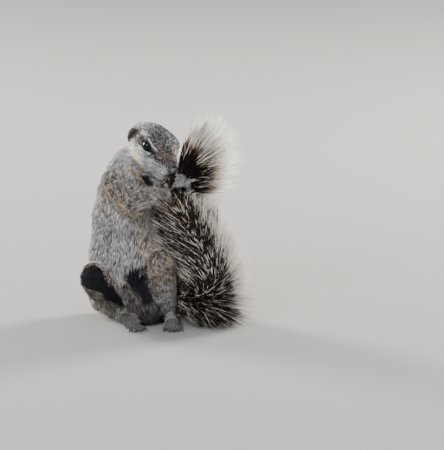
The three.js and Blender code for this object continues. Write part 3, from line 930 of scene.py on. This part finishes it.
# %% Roots along the tail
SHORTEST_HAIR, LONGEST_HAIR = 24, 62
BARE_STEM = 8  # no hair grows nearer to the tail's first joint
CORE = 4.2  # radius of the tail's flesh at its root, and 0.3 of that at its tip
PLUME_ROOTS = 30  # the plume's hair grows from the last stretch of the tail
PLUME_START = 0.93  # the share of the tail's length that comes before the plume
knots = np.arange(len(TAIL_LINE))
tail_path = on_line(np.linspace(0, knots[-1], 260), knots, TAIL_LINE)
travelled = np.append(0, np.cumsum(np.linalg.norm(np.diff(tail_path, axis=0), axis=1)))
tail_length = travelled[-1]
gap = np.linalg.norm(aims[:, None] - tail_path[None], axis=2)
nearest = gap.argmin(1)
reach = gap.min(1)
length = np.clip(1.75 * reach, SHORTEST_HAIR, LONGEST_HAIR) * chance.uniform(0.8, 1.1, TAIL_TUFTS)
back = np.sqrt(np.maximum(length ** 2 - reach ** 2, 30))
start = np.clip(travelled[nearest] - back, BARE_STEM, tail_length)
tail_place = travelled[nearest] / tail_length
plume = travelled[nearest] > PLUME_START * tail_length
start = np.where(plume, tail_length - PLUME_ROOTS * chance.random(TAIL_TUFTS), start)
middle = on_line(start, travelled, tail_path)
outward = unit(aims - tail_path[nearest])
core = CORE * (1 - 0.7 * start / tail_length)
tail_roots = middle + outward * core[:, None]
scale = np.where(chance.random(TAIL_TUFTS) < 0.7, chance.uniform(0.94, 1.10, TAIL_TUFTS),
                 chance.uniform(0.5, 0.94, TAIL_TUFTS))[:, None]
at_stem = 1 - step(tail_place, 0.05, 0.16)
scale -= 0.25 * at_stem[:, None]
scale = np.where(plume[:, None], chance.uniform(0.72, 1.04, scale.shape), scale)
scale += 0.06 * (outward[:, :1] > 0.7) + 0.12 * step(aims[:, 2:], 172, 192)
tail_tips = tail_roots + (aims - tail_roots) * scale
tail_tips, lock = drawn_together(tail_roots * 0.35 + tail_tips * 0.65, tail_tips, 3.4,
                                 0.45 + 0.2 * plume[:, None])
tail_tips += chance.normal(0, 0.9, tail_tips.shape) * (1 + plume[:, None])
tail_tips[:, 2] = np.maximum(tail_tips[:, 2], 0.6)
tail_bends = (tail_roots + tail_tips) / 2 + outward * (0.12 * reach)[:, None]
tail_bends += chance.normal(0, 0.8, tail_tips.shape)

skin_shares, _ = body_map(places(skin))
of_body = (region(skin_shares, "tail") < 0.5)[corners].all(1)
body_tree = tree_of(skin, corners[of_body].tolist())


def inside_body(points):
    out = np.zeros(len(points), bool)
    for i, point in enumerate(points.tolist()):
        place, normal, _, _ = body_tree.find_nearest(point)
        out[i] = (Vector(point) - place).dot(normal) < 0
    return out


SLOPE = 0.21  # of a look at the face from in front and a little above
FACE_FRONT = -22  # mm, where the heights in that look are measured
FACE_EDGE = 51.5  # mm, farther to the animal's left the plume may rise


def before_face(points):
    """Whether points would hide the nose or the chin in that look."""
    seen_at = points[:, 2] + SLOPE * (points[:, 1] - FACE_FRONT)
    chin = np.interp(points[:, 0], (41, 46), (131.5, 136))
    return (points[:, 0] < FACE_EDGE) & (seen_at > chin)


clear = ~np.any([before_face(on_curve(t, tail_roots, tail_bends, tail_tips))
                 for t in (0.3, 0.5, 0.7, 0.85, 1)], axis=0)
THINNED = 0.35  # the share of the plume's hair that is left out
thinned = plume & (chance.random(TAIL_TUFTS) < THINNED)
buried = inside_body(0.5 * tail_bends + 0.5 * tail_tips) & (near_hand < 0.5)
keep = clear & ~thinned & ~buried & ~inside_body(tail_tips)
print("tail hairs kept:", keep.sum(), "of", TAIL_TUFTS)

# %% Mesh the tail's hair, in four stretches
TAIL_PARTS = {  # where the hair's tip is along the tail, and the solids that the hair stands for
    "tail_hair_low": (-1, 0.42, ["tail_root", "tail_base", "tail_bend"]),
    "tail_hair_rising": (0.42, 0.68, ["tail_middle"]),
    "tail_hair_upper": (0.68, PLUME_START, ["tail_upper"]),
    "tail_hair_plume": (PLUME_START, 2, ["tail_tip"]),
}
PLUME_FROM = np.array([54, -67, 146.0])
PLUME_REACH = 58
tail_coats = {}
for name, (low, high, _) in TAIL_PARTS.items():
    chosen = np.nonzero(keep & (tail_place >= low) & (tail_place < high))[0]
    fans_out = low == PLUME_START
    in_locks = 0.45 if fans_out else 0.4
    tint = (1 - in_locks) * chance.random(len(chosen)) + in_locks * lock[chosen]
    size = chance.uniform(0.6, 1.0, len(chosen)) + 0.30 * (tint > 0.70) + 0.25 * fans_out
    marks = {"plume": step(tail_place[chosen], 0.88, 0.96),
             # white tips on the hair of the brush's +X side: partly the tail's real white fringe,
             # partly painted rim light
             "fringe": step(outward[chosen, 0], 0.58, 0.97),
             "stem": at_stem[chosen]}
    piece = spikes(name, tail_roots[chosen], tail_bends[chosen], tail_tips[chosen],
                   size, outward[chosen], 2, map_under(tail_roots[chosen]), marks, tint)
    note(piece, spread=np.linalg.norm(places(piece) - PLUME_FROM, axis=1) / PLUME_REACH)
    tail_coats[name] = piece
print({name: len(piece.data.polygons) for name, piece in tail_coats.items()})

# %% Whiskers
WHISKER_WIDTH = 0.22
whisker_roots, whisker_tips = [], []
for spot in spots:
    forward, right, up = head_axes(spot)
    if forward > 28 or chance.random() < 0.35:
        continue
    sign = np.sign(right)
    back_set = (28 - forward) / 10
    way = unit(sign * RIGHT - FORWARD * (0.1 + 0.5 * back_set) + UP * (0.05 * up)
               + chance.normal(0, 0.08, 3))
    whisker_roots.append(spot)
    whisker_tips.append(spot + way * (9 + 11 * back_set))
whisker_roots, whisker_tips = np.array(whisker_roots), np.array(whisker_tips)
droop = (whisker_roots + whisker_tips) / 2 + 0.9 * UP
whiskers = spikes("whiskers", whisker_roots, droop, whisker_tips,
                  np.full(len(whisker_roots), WHISKER_WIDTH), np.tile(UP, (len(whisker_roots), 1)), 5,
                  map_under(whisker_roots), {}, chance.random(len(whisker_roots)))
print("whiskers:", len(whisker_roots))

# %% [markdown]
# ## Paint
# A material is a network of nodes. Written out one by one they are hard to read, so a small
# class lets sums be written as sums: adding two sockets adds a Math node. What changes over
# the surface feeds the base colour or the bump only. Single numbers are set on the shader.

# %% Sums of sockets
class Value:
    """A socket that can be added, multiplied and compared."""

    def __init__(self, sheet, socket):
        self.sheet, self.socket = sheet, socket

    def _math(self, operation, a, b):
        return self.sheet.node("Math", {"operation": operation}, {0: a, 1: b})[0]

    def __add__(self, other):
        return self._math("ADD", self, other)

    def __sub__(self, other):
        return self._math("SUBTRACT", self, other)

    def __mul__(self, other):
        return self._math("MULTIPLY", self, other)

    def __rsub__(self, other):
        return self._math("SUBTRACT", other, self)

    __radd__ = __add__

    def ramp(self, low, high):
        """0 below low, 1 above high and smooth between."""
        return self.sheet.node("MapRange", {"interpolation_type": "SMOOTHSTEP"},
                               {"Value": self, "From Min": low, "From Max": high})[0]


class Sheet:
    """A material being made."""

    def __init__(self, name, **shader):
        self.material = bpy.data.materials.new(name)
        self.material.use_nodes = True
        self.tree = self.material.node_tree
        self.shader = self.tree.nodes["Principled BSDF"]
        for socket, value in shader.items():
            self.shader.inputs[socket.replace("_", " ")].default_value = value

    def node(self, kind, settings=(), sockets=()):
        """Any node: its settings are set first, then its sockets get values or links."""
        made = self.tree.nodes.new("ShaderNode" + kind)
        for setting, value in dict(settings).items():
            if setting == "stops":
                for element, (place, colour) in zip(self._elements(made, len(value)), value):
                    element.position, element.color = place, (*colour, 1)
            else:
                setattr(made, setting, value)
        for socket, value in dict(sockets).items():
            self.feed(made.inputs[socket], value)
        return [Value(self, out) for out in made.outputs]

    @staticmethod
    def _elements(made, number):
        elements = made.color_ramp.elements
        while len(elements) < number:
            elements.new(0.5)
        return elements

    def feed(self, socket, value):
        if isinstance(value, Value):
            self.tree.links.new(value.socket, socket)
        elif isinstance(value, tuple):
            socket.default_value = (*value, 1) if len(socket.default_value) == 4 else value
        else:
            socket.default_value = value

    def noted(self, name):
        """A number that was written on the vertices."""
        return self.node("Attribute", {"attribute_name": name})[2]

    def blend(self, share, a, b):
        """Colour a, with share of it changed to colour b."""
        return self.node("Mix", {"data_type": "RGBA"}, {0: share, 6: a, 7: b})[2]

    def scaled(self, colour, amount):
        return self.node("VectorMath", {"operation": "SCALE"}, {0: colour, "Scale": amount})[0]

    def noise(self, size, detail=2.0):
        """Noise from 0 to 1 whose blots are about as wide as a size in millimetres."""
        return self.node("TexNoise", {}, {"Vector": self.node("TexCoord")[3],
                                          "Scale": 1 / (size * MM), "Detail": detail})[0]

    def colour(self, value):
        self.feed(self.shader.inputs["Base Color"], value)

    def bumped(self, height, distance):
        made = self.node("Bump", {}, {"Height": height, "Distance": distance * MM, "Strength": 0.8})
        self.feed(self.shader.inputs["Normal"], made[0])


print("paint tools ready")

# %% Colours of the coat
BACK = (0.37, 0.29, 0.21)
# the grey colour is also the painted shade of the crown, and the slate colour is also the painted shade
# inside the thighs, low in the groin and under the jaw
COLOURS = {"grey": (0.115, 0.12, 0.132), "pale": (0.60, 0.61, 0.635), "rusty": (0.42, 0.24, 0.12),
           "tan": (0.54, 0.41, 0.26), "white": (0.90, 0.90, 0.92), "slate": (0.012, 0.014, 0.022)}


def marked_colour(sheet):
    """The coat's colour with every marking laid over the back's."""
    colour = BACK
    for mark in MARKS:
        colour = sheet.blend(sheet.noted(mark), colour, COLOURS[mark])
    return colour


def coat_paint():
    """Hair: darker at the root, pale towards the tip, and some tufts with black tips."""
    sheet = Sheet("coat_paint", Roughness=0.6, Specular_IOR_Level=0.3)
    along, tint = sheet.noted("along"), sheet.noted("chance")
    pale, grey = sheet.noted("pale"), sheet.noted("grey")
    colour = sheet.scaled(marked_colour(sheet), 0.06 + along * 0.52 + tint * 0.96)
    dark_share = 0.30 + grey * 0.10 - pale * (0.08 + grey * 0.16) - sheet.noted("white") * 0.3
    black_tip = (1 - (tint - dark_share).ramp(-0.04, 0.04)) * along.ramp(0.1, 0.5)
    colour = sheet.blend(black_tip * 0.9, colour, (0.035, 0.032, 0.034))
    light_tip = tint.ramp(0.70, 0.80) * along.ramp(0.3, 0.8)
    quiet = 0.82 - sheet.noted("slate") * 0.74 - grey * 0.26
    sheet.colour(sheet.blend(light_tip * quiet, colour, (0.84, 0.82, 0.80)))
    return sheet.material


def skin_paint():
    """Skin and underfur: the same markings, darker and mottled, with a fine bump."""
    sheet = Sheet("skin_paint", Roughness=0.75, Specular_IOR_Level=0.25)
    sheet.colour(sheet.scaled(marked_colour(sheet), 0.22 + sheet.noise(2.4) * 0.30))
    sheet.bumped(sheet.noise(0.9, 3.0), 0.25)
    return sheet.material


def tail_paint():
    """Long dark hair with a brown band, a share of it white at the tip or cream for most of it."""
    sheet = Sheet("tail_paint", Roughness=0.5, Specular_IOR_Level=0.12)
    along, tint = sheet.noted("along"), sheet.noted("chance")
    fringe, plume = sheet.noted("fringe"), sheet.noted("plume")
    shifted = along + (tint - 0.5) * 0.22
    black, brown = (0.006, 0.005, 0.005), (0.022, 0.013, 0.008)
    bands = [(0.0, (0.22, 0.15, 0.09)), (0.20, brown), (0.30, black), (0.44, black),
             (0.51, (0.17, 0.09, 0.045)), (0.59, (0.09, 0.045, 0.025)), (0.66, black), (1.0, brown)]
    colour = sheet.node("ValToRGB", {"stops": bands}, {0: shifted})[0]
    # the +X side's white tips are partly painted rim light
    tipped = (tint + fringe * 0.48).ramp(0.60, 0.65) * (along + fringe * 0.26).ramp(0.84, 0.92)
    colour = sheet.blend(tipped, colour, (0.86, 0.82, 0.74))
    fan = [(0.0, brown), (0.10, black), (0.51, black), (0.56, (0.12, 0.06, 0.03)),
           (0.61, (0.60, 0.48, 0.34)), (0.67, (0.92, 0.88, 0.79)), (1.0, (0.98, 0.97, 0.93))]
    spread = sheet.noted("spread") + (tint - 0.5) * 0.42 + tint.ramp(0.25, 0.32) * 0.26 - 0.20
    colour = sheet.blend(plume, colour, sheet.node("ValToRGB", {"stops": fan}, {0: spread})[0])
    pale_hair = (tint + fringe * 0.2 - plume * 0.06).ramp(0.78, 0.80) * shifted.ramp(0.58, 0.68) * 0.95
    colour = sheet.blend(pale_hair, colour, (0.97, 0.94, 0.88))
    like_back = sheet.scaled(BACK, 0.3 + along * 0.5 + tint * 0.6)
    sheet.colour(sheet.blend(sheet.noted("stem") * 0.85, colour, like_back))
    return sheet.material


def plain_paint(name, colour, mottle, size, **shader):
    """One colour, mottled by a share of itself, with painted shade, nearly black, in any hollow."""
    sheet = Sheet(name, **shader)
    height = sheet.noise(size, 3.0)
    mottled = sheet.scaled(colour, 1 - mottle / 2 + height * mottle)
    sheet.colour(sheet.blend(sheet.noted("hollow").ramp(0.2, 0.7), mottled, (0.012, 0.010, 0.010)))
    sheet.bumped(height, 0.12)
    return sheet.material


def eye_paint():
    """A nearly black pupil, a dark brown iris and a black rim under a wet cornea."""
    sheet = Sheet("eye_paint", Roughness=0.12, Specular_IOR_Level=0.18, Coat_Weight=0.15,
                  Coat_Roughness=0.08)
    rings = [(0.0, (0.002, 0.002, 0.002)), (0.34, (0.003, 0.002, 0.002)),
             (0.40, (0.009, 0.006, 0.004)), (0.56, (0.006, 0.004, 0.003)), (1.0, (0.003, 0.003, 0.003))]
    sheet.colour(sheet.node("ValToRGB", {"stops": rings}, {0: sheet.noted("polar")})[0])
    return sheet.material


def ear_paint():
    """Thin skin with a pale rim and olive inside, with painted shadow that deepens to nearly black
    along the front of the slit.
    """
    sheet = Sheet("ear_paint", Roughness=0.7, Specular_IOR_Level=0.25)
    depth = [(0.0, (0.26, 0.245, 0.235)), (0.2, (0.08, 0.07, 0.055)), (0.5, (0.055, 0.049, 0.032)),
             (0.62, (0.040, 0.035, 0.024)), (0.85, (0.008, 0.007, 0.006))]
    inside = sheet.node("ValToRGB", {"stops": depth}, {0: sheet.noted("hollow")})[0]
    sheet.colour(sheet.scaled(inside, 0.7 + sheet.noise(1.2) * 0.6))
    return sheet.material


print("coat colours:", list(COLOURS))

# %% Dress every piece
def dress(piece, material):
    piece.data.materials.clear()
    piece.data.materials.append(material)
    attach(piece, "root")


fur = coat_paint()
for coat in coats:
    dress(coat, fur)
dress(skin, skin_paint())
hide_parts(*FLESH)
brush_hair = tail_paint()
for name, piece in tail_coats.items():
    dress(piece, brush_hair)
    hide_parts(*TAIL_PARTS[name][2])
horn = plain_paint("claw_paint", (0.075, 0.055, 0.045), 0.5, 1.0, Roughness=0.35)
for piece in claws:
    dress(piece, horn)
dress(whiskers, plain_paint("whisker_paint", (0.03, 0.025, 0.02), 0.2, 2.0, Roughness=0.4))
dress(nose, plain_paint("nose_paint", (0.20, 0.188, 0.185), 1.0, 0.4, Roughness=0.55))
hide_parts("nose")
wet = eye_paint()
ear_skin = ear_paint()
for eye, ear, side in zip(eyes, ears, SIDES):
    dress(eye, wet)
    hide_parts(f"eye_{side}")
    dress(ear, ear_skin)
    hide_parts(f"ear_{side}")

# %% [markdown]
# ## Floor, light and camera
# A museum piece is shown on a plain pale floor under soft, even light. Large area lamps give
# that: one in front, one to fill, and two low behind it that catch the tips of the hair.

# %% The floor
FLOOR_RADIUS = 9  # metres
floor = primitive("circle", "floor", vertices=96, radius=FLOOR_RADIUS, fill_type="NGON")
floor_paint = Sheet("floor_paint", Roughness=0.9)
floor_paint.colour((0.345, 0.337, 0.33))
floor.data.materials.append(floor_paint.material)
print("floor laid")

# %% The lights
world = bpy.data.worlds.new("studio")
world.use_nodes = True
sky = world.node_tree.nodes["Background"].inputs
sky["Color"].default_value = (0.95, 0.97, 1, 1)
sky["Strength"].default_value = 0.70
bpy.context.scene.world = world
LAMPS = [  # name, place in metres, size, watts, colour
    ("front", (-0.7, -1.8, 1.2), 0.6, 31, (1, 0.98, 0.96)),
    ("fill", (1.8, -1.2, 0.7), 1.4, 5, (0.93, 0.96, 1)),
    ("left_rim", (-1.4, 1.2, 0.75), 0.6, 85, (1, 0.96, 0.88)),
    ("right_rim", (1.5, 1.1, 0.75), 0.6, 95, (1, 0.95, 0.86)),
]
LIT = Vector((0.03, -0.02, 0.09))  # what every lamp is turned to


def turn_along(thing, way):
    thing.rotation_euler = way.to_track_quat("-Z", "Y").to_euler()


for name, place, size, watts, colour in LAMPS:
    bpy.ops.object.light_add(type="AREA", location=place)
    lamp = bpy.context.object
    lamp.name = name
    lamp.data.size = size
    lamp.data.energy = watts
    lamp.data.color = colour
    turn_along(lamp, LIT - lamp.location)
print("lamps:", len(LAMPS))

# %% The camera
AIM = Vector((0.0903, -0.022, 0.0893))
ELEVATION = math.radians(12)
AWAY = 4.0
FIELD = 0.405  # metres across the long side of the picture at the animal
bpy.ops.object.camera_add()
camera = bpy.context.object
toward = Vector((0, math.cos(ELEVATION), -math.sin(ELEVATION)))
camera.location = AIM - AWAY * toward
turn_along(camera, toward)
camera.data.sensor_width = 36
camera.data.lens = 36 * AWAY / FIELD
camera.data.clip_end = 40
bpy.context.scene.camera = camera
print("lens", round(camera.data.lens), "mm")
